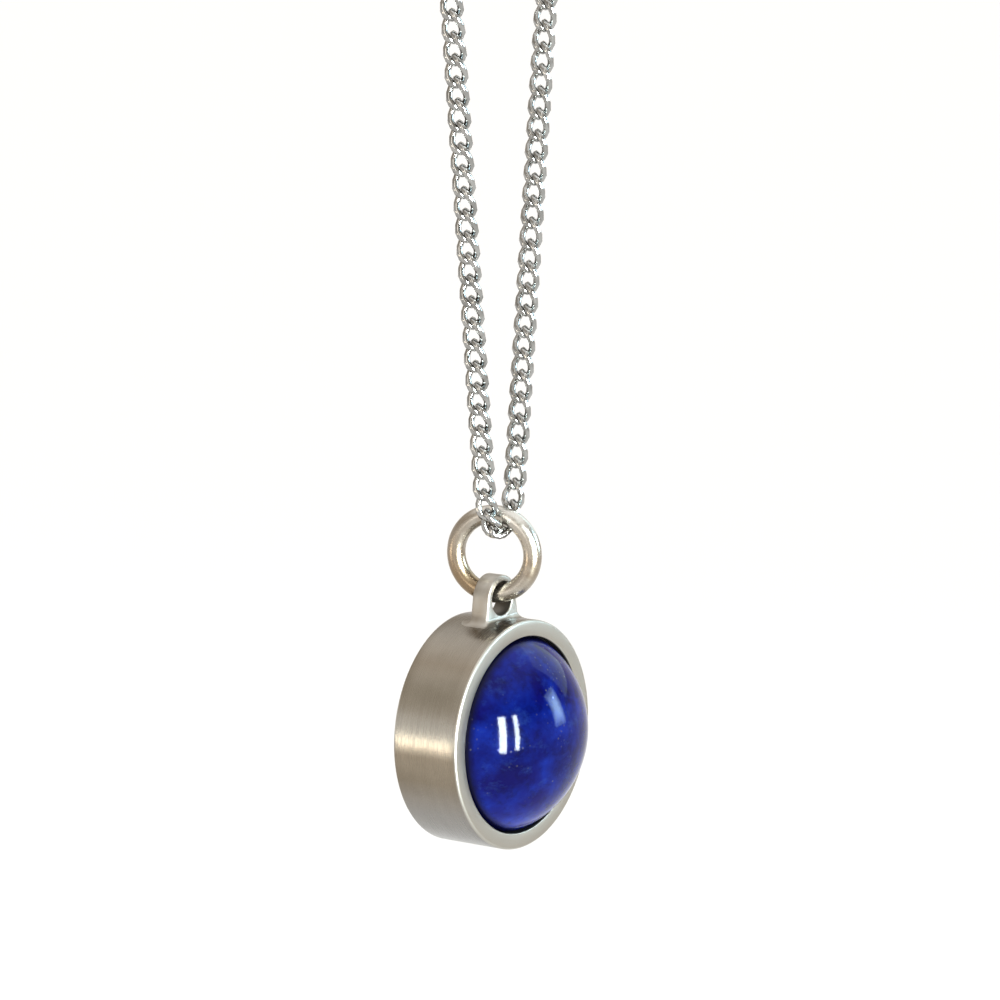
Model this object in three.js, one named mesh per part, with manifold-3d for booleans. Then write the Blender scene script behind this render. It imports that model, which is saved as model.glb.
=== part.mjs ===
// A pendant necklace: a domed stone in a turned metal case, a jump ring, a fine
// curb chain and its clasp, hung up on a slim round peg.
// Millimetres. The origin is on the peg's axis, midway between the two strands.
// +Z is up, the stone faces -Y and the strands spread along X.

import * as THREE from 'three';
import { mergeVertices } from 'three/addons/utils/BufferGeometryUtils.js';
import Module from 'manifold-3d';

const wasm = await Module();
wasm.setup();

// ---- Driving dimensions ----

// The peg that holds the necklace up, which isn't part of it.
const PEG_RADIUS = 5.5;
const PENDANT_DROP = 95; // from the peg's axis to the case's axis

// The case and what is in it.
const CASE_WALL = 0.99; // from the bore to the outside
const CASE_DEPTH = 4.66;
const CASE_FRONT = 2.2; // the rim stands this far ahead of the lug's mid-plane
const CASE_CHAMFER = 0.14;
const BORE_CHAMFER = 0.06;
const PLATE_LEDGE = 0.35; // the back plate's recess is this much wider than the bore, all round
const PLATE_THICKNESS = 1.0;
const PLATE_RECESS = 0.05;
const PLATE_CHAMFER = 0.1;
const SEAT_WIDTH = 1.63;
const BED_THICKNESS = 0.14;

// The stone.
const STONE_RADIUS = 6.0;
const DOME_HEIGHT = 3.756; // above the stone's widest line
const GIRDLE_SINK = 0.42; // the widest line of the stone lies this far inside the rim
const GIRDLE_HEIGHT = 0.75;
const STONE_CHAMFER = 0.35;

// The lug that is brazed on the case.
const LUG_WIDTH = 2.88;
const LUG_THICKNESS = 1.25;
const LUG_BEVEL = 0.1;
const LUG_HOLE_RADIUS = 0.98;
const LUG_HOLE_RISE = 1.22; // from the case's outside up to the hole's centre
const BRAZE_SPREAD = 0.45;
const BRAZE_RISE = 0.42;
const BRAZE_FRONT_RISE = 0.14;

// The jump ring.
const RING_RADIUS = 2.44; // to the wire's centre line
const RING_WIRE = 1.13;
const RING_YAW = 17; // degrees that the ring stands off square to the lug

// The chain.
const CHAIN_WIDTH = 1.45;
const SADDLE_THICKNESS = 0.8; // the links lie flat against the ring's wire
const CHAIN_AHEAD = 0.4; // the chain crosses the ring this far in front of the lug's mid-plane
const SADDLE_HALF_WIDTH = 1.57; // from the ring's plane to a strand's centre line
const SADDLE_HEIGHT = 2.7;
const SADDLE_BEND = [[0.5, 0.12], [0.9, 0.46], [1.12, 1.0], [1.36, 1.75]]; // half of it, x and rise
const STRAND_SLOPE = 0.1114; // sideways for each millimetre up
const WINDING_TURNS = 2.5;
const WINDING_PITCH = 1.56;

// The clasp, with u along it from tail to nose and v across it.
const CLASP_THICKNESS = 1.6;
const CLASP_BEVEL = 0.2;
const CLASP_HALF_LENGTH = 3.8;
const CLASP_HALF_WIDTH = 2.4;
const CLASP_CENTRE = 1.2;
const EYE_CENTRE = 1.9;
const EYE_HALF_LENGTH = 2.1;
const EYE_HALF_WIDTH = 1.3;
const TAIL_CENTRE = -3.9;
const TAIL_RADIUS = 1.1;
const TAIL_HOLE = 0.65;
const TAIL_ANGLE = 40.32; // degrees each side of the axis where the tail's round joins the neck
const NECK_ANGLE = 25.2; // and where the body's ellipse does
const PIVOT = [-1.2, 0.55];
const RIVET_RADIUS = 0.28;
const SLOT_WIDTH = 0.92;
const SLOT_BACK = -1.98;
const SLOT_FRONT = 0.95;
const SLOT_FLOOR = -0.3;
const GATE_START = 0.75;
const GATE_END = 3.2;
const GATE_FLOOR = 0.9;
const SPRING_WIRE = 0.12;
const SPRING_TURNS = 2.5;
const SPRING_PITCH = 1.15; // in wires
const RIVET_HEAD = 0.05; // it stands this far out at each side
const LEVER_HEEL = [0.45, -0.4]; // this and the next three are from the rivet
const LEVER_HEEL_CURVE = [-0.6, -0.72];
const LEVER_BACK = [[-0.5, 1.1], [-0.68, 0.1]];
const THUMB_TAB = [[0.55, -0.3], [0.5, 0.5], [0.1, 0.85], [-0.25, 0.5]]; // along from the rivet, and out
const LEVER_TIP_RISE = 0.25; // above the gate's floor
const LEVER_TIP_SINK = 0.44; // below the clasp's widest line
const LEVER_BELLY = [0.5, 0.12]; // along from the clasp's centre, out from the side
const LEVER_ROOT_RISE = 0.1;
const END_RING_RADIUS = 2.2;
const END_RING_WIRE = 0.56;
const CLASP_RING_RADIUS = 1.3;
const CLASP_RING_WIRE = 0.5;
const LOOP_BOTTOM = [0.6, -40.5]; // x and z just below the clasp ring
// The left tail's bend, x and z.
const LEFT_TAIL_BEND = [[-3.9, -32], [-3.3, -37], [-2.7, -39.5], [-1.7, -41.2], [-0.4, -41.6]];

// Clearances.
const BRAZE_GAP = 0.02;
const FIT_GAP = 0.02;
const STONE_GAP = 0.02;
const BORE_GAP = 0.05;
const LUG_GAP = 0.165;
const SEAT_GAP = 0.12;
const SPRING_GAP = 0.09;
const TIP_GAP = 0.1;
const RUNNING_GAP = 0.03;
const LEVER_GAP = 0.06;
const CHAIN_GAP = 0.04;
const SADDLE_GAP = 0.14;
const CORD_END_GAP = 0.3;

// ---- What follows from them ----

const boreRadius = STONE_RADIUS + BORE_GAP;
const caseRadius = boreRadius + CASE_WALL;
const plateRadius = boreRadius + PLATE_LEDGE;
const domeRadius = (STONE_RADIUS ** 2 + DOME_HEIGHT ** 2) / (2 * DOME_HEIGHT);
const caseFrontY = -CASE_FRONT;
const caseBackY = CASE_DEPTH - CASE_FRONT;
const plateBackY = caseBackY - PLATE_RECESS;
const plateFrontY = plateBackY - PLATE_THICKNESS;
const girdleY = caseFrontY + GIRDLE_SINK;
const stoneBaseY = girdleY + GIRDLE_HEIGHT + STONE_CHAMFER;
const bedBackY = stoneBaseY + STONE_GAP + BED_THICKNESS;
const holeZ = caseRadius + LUG_HOLE_RISE;
const ringLift = LUG_HOLE_RADIUS - RING_WIRE / 2 - LUG_GAP; // the wire's centre above the hole's centre
const ringZ = holeZ + ringLift + RING_RADIUS;
const ringTopZ = ringZ + RING_RADIUS;
const saddleZ = ringTopZ - RING_WIRE / 2 - SADDLE_GAP - SADDLE_THICKNESS / 2;
const windingRadius = PEG_RADIUS + CHAIN_GAP + CHAIN_WIDTH / 2;
const windingWidth = WINDING_TURNS * WINDING_PITCH;
const strandStartZ = saddleZ + SADDLE_HEIGHT - PENDANT_DROP;
const strandTopX = SADDLE_HALF_WIDTH - STRAND_SLOPE * strandStartZ;
const tailTopX = strandTopX - windingWidth;
// Where the end ring's wire lies in the clasp's eye.
const endRingSeat = EYE_CENTRE + EYE_HALF_LENGTH - END_RING_WIRE / 2 - SEAT_GAP;
const springRadius = RIVET_RADIUS + SPRING_WIRE / 2 + SPRING_GAP;

// ---- Materials ----

function metal(colour, roughness) {
  return new THREE.MeshStandardMaterial({ color: colour, roughness, metalness: 1 });
}

const brushedSteel = metal(0xb9ae9e, 0.38);
const satinSteel = metal(0xc4c1b8, 0.32);
const warmSteel = metal(0xc2b095, 0.25);
const brightSteel = metal(0xd0d0ce, 0.18);
const springSteel = metal(0x8f8f90, 0.35);
const lapis = new THREE.MeshStandardMaterial({ color: 0x1f2a8c, roughness: 0.12, metalness: 0 });
const adhesive = new THREE.MeshStandardMaterial({ color: 0x16161a, roughness: 0.6, metalness: 0 });

// ---- Helpers ----

// A closed solid that manifold-3d can join and cut.
function solid(geometry) {
  const plain = geometry.clone();
  plain.deleteAttribute('normal');
  plain.deleteAttribute('uv');
  const merged = mergeVertices(plain, 1e-5);
  return new wasm.Manifold(new wasm.Mesh({
    numProp: 3,
    vertProperties: merged.attributes.position.array,
    triVerts: Uint32Array.from(merged.index.array),
  }));
}

function geometryOf(body) {
  const mesh = body.getMesh();
  const geometry = new THREE.BufferGeometry();
  geometry.setAttribute('position', new THREE.BufferAttribute(mesh.vertProperties, 3));
  geometry.setIndex(new THREE.BufferAttribute(mesh.triVerts, 1));
  geometry.computeVertexNormals();
  return geometry;
}

function piece(name, geometry, material, group) {
  const mesh = new THREE.Mesh(geometry, material);
  mesh.name = name;
  group.add(mesh);
  return mesh;
}

// A profile of [radius, y] points turned about the Y axis.
function turned(profile, segments) {
  return new THREE.LatheGeometry(profile.map(([r, y]) => new THREE.Vector2(r, y)), segments);
}

// A ring of rectangular section, turned about the Y axis.
function turnedRing(inner, outer, lowY, highY, segments) {
  return turned([[inner, lowY], [outer, lowY], [outer, highY], [inner, highY], [inner, lowY]], segments);
}

// A rod along Y, centred on y = 0.
function rod(radius, length, segments) {
  return new THREE.CylinderGeometry(radius, radius, length, segments);
}

function block(lowU, highU, lowV, highV, width) {
  const box = new THREE.BoxGeometry(highU - lowU, highV - lowV, width);
  return box.translate((lowU + highU) / 2, (lowV + highV) / 2, 0);
}

// A flat outline given thickness, centred on its own plane.
function plate(shape, thickness, bevel, curveSegments) {
  const geometry = new THREE.ExtrudeGeometry(shape, {
    depth: thickness - 2 * bevel,
    steps: 1,
    curveSegments,
    bevelEnabled: bevel > 0,
    bevelThickness: bevel,
    bevelSize: bevel,
    bevelOffset: -bevel,
    bevelSegments: 1,
  });
  return geometry.translate(0, 0, bevel - thickness / 2);
}

// An outline drawn in X and Z, with its thickness along Y.
function upright(geometry) {
  return geometry.rotateX(Math.PI / 2);
}

// The point a given distance from one point towards another.
function pointToward(from, to, distance) {
  const start = new THREE.Vector3(...from);
  const along = new THREE.Vector3(...to).sub(start).normalize();
  return start.addScaledVector(along, distance).toArray();
}

// A tube along a list of points.
function tube(points, diameter, steps, sides) {
  const section = new THREE.Shape();
  const radius = diameter / 2;
  section.moveTo(radius, 0);
  for (let i = 1; i < sides; i += 1) {
    const angle = (2 * Math.PI * i) / sides;
    section.lineTo(radius * Math.cos(angle), radius * Math.sin(angle));
  }
  section.closePath();
  const path = new THREE.CatmullRomCurve3(points.map((p) => new THREE.Vector3(...p)));
  return new THREE.ExtrudeGeometry(section, { steps, extrudePath: path, curveSegments: 1 });
}

// ---- The pendant: stone, case and lug ----

// Its own origin is on the case's axis, at the lug's mid-plane.
const pendant = new THREE.Group();
pendant.position.set(0, CHAIN_AHEAD - windingRadius, -PENDANT_DROP);

function caseRing() {
  const profile = [
    [boreRadius, caseFrontY + BORE_CHAMFER],
    [boreRadius + BORE_CHAMFER, caseFrontY],
    [caseRadius - CASE_CHAMFER, caseFrontY],
    [caseRadius, caseFrontY + CASE_CHAMFER],
    [caseRadius, caseBackY - CASE_CHAMFER],
    [caseRadius - CASE_CHAMFER, caseBackY],
    [plateRadius + FIT_GAP, caseBackY],
    [plateRadius + FIT_GAP, plateFrontY - FIT_GAP],
    [boreRadius, plateFrontY - FIT_GAP],
    [boreRadius, caseFrontY + BORE_CHAMFER],
  ];
  return turned(profile, 64);
}

function backPlate() {
  const profile = [
    [0, plateFrontY],
    [plateRadius, plateFrontY],
    [plateRadius, plateBackY - PLATE_CHAMFER],
    [plateRadius - PLATE_CHAMFER, plateBackY],
    [0, plateBackY],
  ];
  return turned(profile, 64);
}

function cabochon() {
  const centreY = girdleY - DOME_HEIGHT + domeRadius;
  const edgeAngle = Math.acos((domeRadius - DOME_HEIGHT) / domeRadius);
  const steps = 9;
  const profile = [];
  for (let i = 0; i <= steps; i += 1) {
    const angle = (edgeAngle * i) / steps;
    profile.push([domeRadius * Math.sin(angle), centreY - domeRadius * Math.cos(angle)]);
  }
  profile.push([STONE_RADIUS, girdleY + GIRDLE_HEIGHT]);
  profile.push([STONE_RADIUS - STONE_CHAMFER, stoneBaseY]);
  profile.push([0, stoneBaseY]);
  return turned(profile, 48);
}

function lugBody(growth) {
  const half = LUG_WIDTH / 2 + growth;
  const shape = new THREE.Shape();
  shape.moveTo(-half, caseRadius - LUG_WIDTH / 2);
  shape.lineTo(half, caseRadius - LUG_WIDTH / 2);
  shape.lineTo(half, holeZ);
  shape.absarc(0, holeZ, half, 0, Math.PI, false);
  shape.closePath();
  return solid(upright(plate(shape, LUG_THICKNESS + 2 * growth, LUG_BEVEL, 10)));
}

// The case's outside, which the lug and the braze are shaped to.
function caseOutside() {
  return solid(rod(caseRadius + BRAZE_GAP, CASE_DEPTH * 2, 64));
}

function hangingLug() {
  const hole = solid(rod(LUG_HOLE_RADIUS, LUG_THICKNESS * 2, 24).translate(0, 0, holeZ));
  return geometryOf(lugBody(0).subtract(hole).subtract(caseOutside()));
}

function lugBraze() {
  const sides = solid(new THREE.CylinderGeometry(
    (LUG_WIDTH / 2 + BRAZE_GAP) * Math.SQRT2,
    (LUG_WIDTH / 2 + BRAZE_SPREAD) * Math.SQRT2,
    BRAZE_RISE + BRAZE_SPREAD,
    4,
    1,
  ).rotateY(Math.PI / 4).rotateX(Math.PI / 2)
    .scale(1, LUG_THICKNESS / LUG_WIDTH, 1)
    .translate(0, 0, caseRadius + (BRAZE_RISE - BRAZE_SPREAD) / 2));
  const frontAndBack = solid(new THREE.CylinderGeometry(
    (LUG_THICKNESS / 2 + BRAZE_GAP) * Math.SQRT2,
    (LUG_THICKNESS / 2 + BRAZE_SPREAD) * Math.SQRT2,
    BRAZE_FRONT_RISE + BRAZE_SPREAD,
    4,
    1,
  ).rotateY(Math.PI / 4).rotateX(Math.PI / 2)
    .scale(LUG_WIDTH / LUG_THICKNESS, 1, 1)
    .translate(0, 0, caseRadius + (BRAZE_FRONT_RISE - BRAZE_SPREAD) / 2));
  return geometryOf(sides.add(frontAndBack).subtract(lugBody(BRAZE_GAP)).subtract(caseOutside()));
}

piece('case_ring', caseRing(), brushedSteel, pendant);
piece('back_plate', backPlate(), brushedSteel, pendant);
piece('seat_ring', turnedRing(
  boreRadius - FIT_GAP - SEAT_WIDTH,
  boreRadius - FIT_GAP,
  bedBackY + STONE_GAP,
  plateFrontY - FIT_GAP,
  40,
), satinSteel, pendant);
piece('adhesive_bed', turned([
  [0, stoneBaseY + STONE_GAP],
  [STONE_RADIUS - STONE_CHAMFER, stoneBaseY + STONE_GAP],
  [STONE_RADIUS - STONE_CHAMFER, bedBackY],
  [0, bedBackY],
], 40), adhesive, pendant);
piece('cabochon', cabochon(), lapis, pendant);
piece('hanging_lug', hangingLug(), satinSteel, pendant);
piece('lug_braze', lugBraze(), satinSteel, pendant);

// ---- The jump ring ----

function wireRing(radius, wire, sides, segments) {
  return new THREE.TorusGeometry(radius, wire / 2, sides, segments).rotateY(Math.PI / 2);
}

const jumpRing = piece('jump_ring', wireRing(RING_RADIUS, RING_WIRE, 12, 40), warmSteel, pendant);
jumpRing.position.set(0, 0, ringZ);
jumpRing.rotation.z = THREE.MathUtils.degToRad(RING_YAW);

// ---- The chain, as the tubes and coils that it fills ----

const chain = new THREE.Group();

// The saddle passes under the top of the jump ring, from one strand to the other.
function saddlePoints() {
  const z = saddleZ - PENDANT_DROP;
  const half = [
    ...SADDLE_BEND,
    [SADDLE_HALF_WIDTH - STRAND_SLOPE * CORD_END_GAP, SADDLE_HEIGHT - CORD_END_GAP],
  ];
  const right = half.map(([x, rise]) => [x, -windingRadius, z + rise]);
  const left = right.map(([x, y, height]) => [-x, y, height]).reverse();
  return [...left, [0, -windingRadius, z], ...right];
}

piece('chain_saddle', tube(saddlePoints(), SADDLE_THICKNESS, 14, 8), brightSteel, chain);

const claspAxis = new THREE.Vector2(tailTopX - LOOP_BOTTOM[0], -LOOP_BOTTOM[1]).normalize();
const claspReach = CLASP_RING_RADIUS - TAIL_CENTRE + TAIL_HOLE + CHAIN_WIDTH;
const endRingTop = endRingSeat + 2 * END_RING_RADIUS;

// A point on the clasp's long axis, u millimetres from the clasp's origin.
function onClaspAxis(u) {
  return [
    LOOP_BOTTOM[0] + claspAxis.x * (claspReach + u),
    windingRadius,
    LOOP_BOTTOM[1] + claspAxis.y * (claspReach + u),
  ];
}

const tailEnds = {
  left: onClaspAxis(TAIL_CENTRE - 2 * CLASP_RING_RADIUS),
  right: onClaspAxis(endRingTop),
};
// Where a tube running along the peg's tangent meets the windings.
const windingEntry = Math.sqrt(2 * windingRadius * CHAIN_WIDTH);

for (const [side, sign] of [['left', -1], ['right', 1]]) {
  const strandEndZ = -windingEntry - CORD_END_GAP;
  piece(`${side}_strand`, tube([
    [sign * SADDLE_HALF_WIDTH, -windingRadius, strandStartZ],
    [sign * (strandTopX + STRAND_SLOPE * strandEndZ), -windingRadius, strandEndZ],
  ], CHAIN_WIDTH, 6, 8), brightSteel, chain);

  const coil = piece(`${side}_coil`, turnedRing(
    windingRadius - CHAIN_WIDTH / 2,
    windingRadius + CHAIN_WIDTH / 2,
    -(windingWidth + CHAIN_WIDTH) / 2,
    (windingWidth + CHAIN_WIDTH) / 2,
    32,
  ), brightSteel, chain);
  coil.rotation.z = Math.PI / 2;
  coil.position.x = (sign * (strandTopX + tailTopX)) / 2;

  const bend = side === 'left' ? LEFT_TAIL_BEND.map(([x, z]) => [x, windingRadius, z]) : [];
  const route = [[sign * tailTopX, windingRadius, 0], ...bend, tailEnds[side]];
  route[0] = pointToward(route[0], route[1], windingEntry + CORD_END_GAP);
  route[route.length - 1] = pointToward(route.at(-1), route.at(-2), CORD_END_GAP);
  piece(`${side}_tail`, tube(route, CHAIN_WIDTH, side === 'left' ? 18 : 4, 8), brightSteel, chain);
}

// ---- The clasp ----

// u runs along the group's X axis, v along its Z axis, the thickness along Y.
const clasp = new THREE.Group();
clasp.position.set(...onClaspAxis(0));
clasp.rotation.set(Math.PI, -Math.atan2(claspAxis.y, claspAxis.x), 0, 'YXZ'); // its gate faces outwards

function claspBody() {
  const shape = new THREE.Shape();
  const tailAngle = THREE.MathUtils.degToRad(TAIL_ANGLE);
  const neckAngle = THREE.MathUtils.degToRad(NECK_ANGLE);
  shape.absarc(TAIL_CENTRE, 0, TAIL_RADIUS, tailAngle, 2 * Math.PI - tailAngle, false);
  shape.absellipse(
    CLASP_CENTRE,
    0,
    CLASP_HALF_LENGTH,
    CLASP_HALF_WIDTH,
    Math.PI + neckAngle,
    3 * Math.PI - neckAngle,
    false,
    0,
  );
  shape.closePath();
  const tailHole = solid(rod(TAIL_HOLE, CLASP_THICKNESS * 2, 16).rotateX(Math.PI / 2)
    .translate(TAIL_CENTRE, 0, 0));
  const eyeShape = new THREE.Shape();
  eyeShape.absellipse(EYE_CENTRE, 0, EYE_HALF_LENGTH, EYE_HALF_WIDTH, 0, 2 * Math.PI, false, 0);
  const eye = solid(plate(eyeShape, CLASP_THICKNESS * 2, 0, 12));
  const gate = solid(block(GATE_START, GATE_END, GATE_FLOOR, CLASP_HALF_WIDTH * 2, CLASP_THICKNESS * 2));
  const slot = solid(block(SLOT_BACK, SLOT_FRONT, SLOT_FLOOR, CLASP_HALF_WIDTH * 2, SLOT_WIDTH));
  const rivetHole = solid(rod(RIVET_RADIUS + FIT_GAP, CLASP_THICKNESS * 2, 16).rotateX(Math.PI / 2)
    .translate(...PIVOT, 0));
  const body = solid(plate(shape, CLASP_THICKNESS, CLASP_BEVEL, 14))
    .subtract(tailHole).subtract(eye).subtract(gate).subtract(slot).subtract(rivetHole);
  return upright(geometryOf(body));
}

const leverThickness = SLOT_WIDTH - 2 * LEVER_GAP;
const pocketDepth = leverThickness / 2;

function claspLever() {
  const tip = GATE_END - TIP_GAP;
  const fromRivet = ([u, v]) => [PIVOT[0] + u, PIVOT[1] + v];
  const fromSide = ([u, v]) => [PIVOT[0] + u, CLASP_HALF_WIDTH + v];
  const [tabStart, tabFront, tabCurve, tabBack] = THUMB_TAB.map(fromSide);
  const heel = fromRivet(LEVER_HEEL);
  const shape = new THREE.Shape();
  shape.moveTo(...heel);
  shape.quadraticCurveTo(GATE_START, GATE_FLOOR + LEVER_ROOT_RISE, tip, GATE_FLOOR + LEVER_TIP_RISE);
  shape.lineTo(tip, CLASP_HALF_WIDTH - LEVER_TIP_SINK);
  shape.quadraticCurveTo(CLASP_CENTRE + LEVER_BELLY[0], CLASP_HALF_WIDTH + LEVER_BELLY[1], ...tabStart);
  shape.lineTo(...tabFront);
  shape.quadraticCurveTo(...tabCurve, ...tabBack);
  shape.lineTo(...fromRivet(LEVER_BACK[0]));
  shape.lineTo(...fromRivet(LEVER_BACK[1]));
  shape.quadraticCurveTo(...fromRivet(LEVER_HEEL_CURVE), ...heel);
  const hole = solid(rod(RIVET_RADIUS + RUNNING_GAP, CLASP_THICKNESS, 16).rotateX(Math.PI / 2)
    .translate(...PIVOT, 0));
  const pocket = solid(rod(springRadius + SPRING_WIRE / 2 + RUNNING_GAP, pocketDepth, 16).rotateX(Math.PI / 2)
    .translate(...PIVOT, leverThickness / 2 - pocketDepth / 2 + LEVER_GAP / 4));
  return upright(geometryOf(solid(plate(shape, leverThickness, 0, 5)).subtract(hole).subtract(pocket)));
}

function claspSpring() {
  const height = SPRING_TURNS * SPRING_WIRE * SPRING_PITCH;
  const points = [];
  const steps = 24;
  const highest = -(leverThickness / 2 - SPRING_WIRE / 2);
  for (let i = 0; i <= steps; i += 1) {
    const angle = (2 * Math.PI * SPRING_TURNS * i) / steps;
    points.push([
      PIVOT[0] + springRadius * Math.cos(angle),
      highest + (height * i) / steps,
      PIVOT[1] + springRadius * Math.sin(angle),
    ]);
  }
  return tube(points, SPRING_WIRE, 30, 6);
}

piece('clasp_body', claspBody(), brightSteel, clasp);
piece('clasp_lever', claspLever(), brightSteel, clasp);
piece('clasp_spring', claspSpring(), springSteel, clasp);
const rivet = rod(RIVET_RADIUS, CLASP_THICKNESS + 2 * RIVET_HEAD, 16);
piece('clasp_rivet', rivet.translate(PIVOT[0], 0, PIVOT[1]), brightSteel, clasp);

// Both rings stand square to the clasp, with their planes along its length.
const endRing = piece('end_ring', wireRing(END_RING_RADIUS, END_RING_WIRE, 8, 28), brightSteel, clasp);
endRing.rotation.y = Math.PI / 2;
endRing.position.x = endRingSeat + END_RING_RADIUS;
const claspRingWire = wireRing(CLASP_RING_RADIUS, CLASP_RING_WIRE, 8, 20);
const claspRing = piece('clasp_ring', claspRingWire, brightSteel, clasp);
claspRing.rotation.y = Math.PI / 2;
claspRing.position.x = TAIL_CENTRE - CLASP_RING_RADIUS;

const necklace = new THREE.Group();
necklace.add(pendant, chain, clasp);

export default necklace;
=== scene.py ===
# %% [markdown]
# # A pendant necklace
# A domed blue stone sits in a turned steel case. A jump ring joins the case's lug to a fine curb chain,
# and the chain is hung up on a slim peg, wound round it and closed by its clasp.
# The frame gives every place and size. This lesson makes the fine surfaces around it.
# %% Load the frame
import bisect
import math

import bmesh
import bpy
from mathutils import Matrix, Vector


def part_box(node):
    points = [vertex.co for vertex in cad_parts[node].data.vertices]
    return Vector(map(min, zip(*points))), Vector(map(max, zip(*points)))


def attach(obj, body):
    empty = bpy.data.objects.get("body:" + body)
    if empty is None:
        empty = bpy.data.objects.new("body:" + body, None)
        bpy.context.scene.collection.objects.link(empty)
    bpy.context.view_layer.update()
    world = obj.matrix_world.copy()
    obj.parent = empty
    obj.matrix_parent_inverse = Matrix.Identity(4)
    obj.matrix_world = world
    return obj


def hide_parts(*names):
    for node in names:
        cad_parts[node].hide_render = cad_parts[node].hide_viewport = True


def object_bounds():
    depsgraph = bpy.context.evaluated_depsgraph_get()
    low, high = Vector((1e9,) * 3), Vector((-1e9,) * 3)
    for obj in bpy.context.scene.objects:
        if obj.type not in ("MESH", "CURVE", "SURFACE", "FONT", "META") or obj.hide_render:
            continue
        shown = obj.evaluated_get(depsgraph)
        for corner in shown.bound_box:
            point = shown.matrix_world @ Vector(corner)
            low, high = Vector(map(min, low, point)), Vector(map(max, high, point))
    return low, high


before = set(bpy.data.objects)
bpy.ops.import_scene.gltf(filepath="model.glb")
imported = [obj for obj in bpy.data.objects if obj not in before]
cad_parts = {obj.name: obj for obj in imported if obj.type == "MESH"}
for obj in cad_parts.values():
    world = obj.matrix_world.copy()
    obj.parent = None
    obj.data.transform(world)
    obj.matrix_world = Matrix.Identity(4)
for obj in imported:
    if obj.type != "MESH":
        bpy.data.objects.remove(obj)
cad_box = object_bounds()
MM = 0.001


def middle(node):
    low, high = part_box(node)
    return (low + high) / 2


def size(node):
    low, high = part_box(node)
    return high - low


case_centre = middle("case_ring")
case_radius = size("case_ring").x / 2
case_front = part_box("case_ring")[0].y
case_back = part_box("case_ring")[1].y
lug_low, lug_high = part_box("hanging_lug")
lug_half = (lug_high.x - lug_low.x) / 2
lug_half_depth = (lug_high.y - lug_low.y) / 2
lug_hole = Vector((0, (lug_low.y + lug_high.y) / 2, lug_high.z - lug_half))
print("case", [round(v / MM, 2) for v in case_centre], "radius", round(case_radius / MM, 2), "mm")

# %% [markdown]
# The camera stands to the left of the stone and a little above it, as a jeweller's catalogue often shows a
# pendant: the wall of the case shows as well as its face. It looks from close by, so a long lens keeps
# the shape true.
# %% Camera
VIEW_AZIMUTH = math.radians(-54.5)
VIEW_ELEVATION = math.radians(9.67)
VIEW_DISTANCE = 0.260
FRAME_WIDTH = 60.753 * MM  # what the lens takes in at that distance
AIM_SIDE = -1.446 * MM  # the middle of the view lies this far left of the case's face
AIM_UP = 14.27 * MM

face = Vector((case_centre.x, case_front, case_centre.z))
to_camera = Vector((
    math.sin(VIEW_AZIMUTH) * math.cos(VIEW_ELEVATION),
    -math.cos(VIEW_AZIMUTH) * math.cos(VIEW_ELEVATION),
    math.sin(VIEW_ELEVATION),
))
view_right = Vector((math.cos(VIEW_AZIMUTH), math.sin(VIEW_AZIMUTH), 0))
view_up = to_camera.cross(view_right)

camera_data = bpy.data.cameras.new("camera")
camera_data.sensor_width = 36
camera_data.lens = 36 * VIEW_DISTANCE / FRAME_WIDTH
camera_data.clip_start = 0.01
camera_data.clip_end = 200
camera = bpy.data.objects.new("camera", camera_data)
bpy.context.scene.collection.objects.link(camera)
camera.matrix_world = Matrix((view_right, view_up, to_camera)).transposed().to_4x4()
camera.location = face + to_camera * VIEW_DISTANCE + view_right * AIM_SIDE + view_up * AIM_UP
bpy.context.scene.camera = camera
print("lens", round(camera_data.lens, 1), "mm")

# %% [markdown]
# ## The chain's route
# The chain is 450 mm long with its clasp, the usual length for a pendant. It runs from the clasp ring up to
# the peg, winds round it, goes down to the jump ring, passes under the ring's wire, and comes back the same
# way on the other side. Listed points give the free stretches, and a loop gives the windings.
# %% Route
CHAIN_WIDTH = 1.45 * MM
WINDING_TURNS = 2.5
winding_radius = (size("left_coil").y - CHAIN_WIDTH) / 2
winding_width = size("left_coil").x - CHAIN_WIDTH
STRAND_SLOPE = 0.1114
SADDLE_HALF_WIDTH = 1.57 * MM
SADDLE_THICKNESS = 0.8 * MM  # the links lie flat against the ring's wire
saddle_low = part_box("chain_saddle")[0].z + SADDLE_THICKNESS / 2
# Half of the saddle, as distance from the middle and rise, in metres.
SADDLE_HALF = [(0.0005, 0.00012), (0.0009, 0.00046), (0.00112, 0.0010), (0.00136, 0.00175),
               (0.001537, 0.0024)]
LEFT_TAIL_BEND = [(-0.0004, -0.0416), (-0.0017, -0.0412), (-0.0027, -0.0395), (-0.0033, -0.037),
                  (-0.0039, -0.032)]
LOOP_BOTTOM = Vector((0.0006, winding_radius, -0.0405))
SADDLE_HEIGHT = 2.7 * MM
CLASP_REACH = 7.3 * MM  # from the loop's bottom up to the clasp's own zero
CLASP_RING_HOLD = -6.25 * MM  # where the first link bears on the clasp ring, along the clasp
END_RING_HOLD = 7.72 * MM  # and the last one on the end ring

strand_start = saddle_low + SADDLE_HEIGHT
strand_top = SADDLE_HALF_WIDTH - STRAND_SLOPE * strand_start
tail_top = strand_top - winding_width
print("strands meet the peg", round(strand_top / MM, 2), "mm from the middle")


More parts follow.
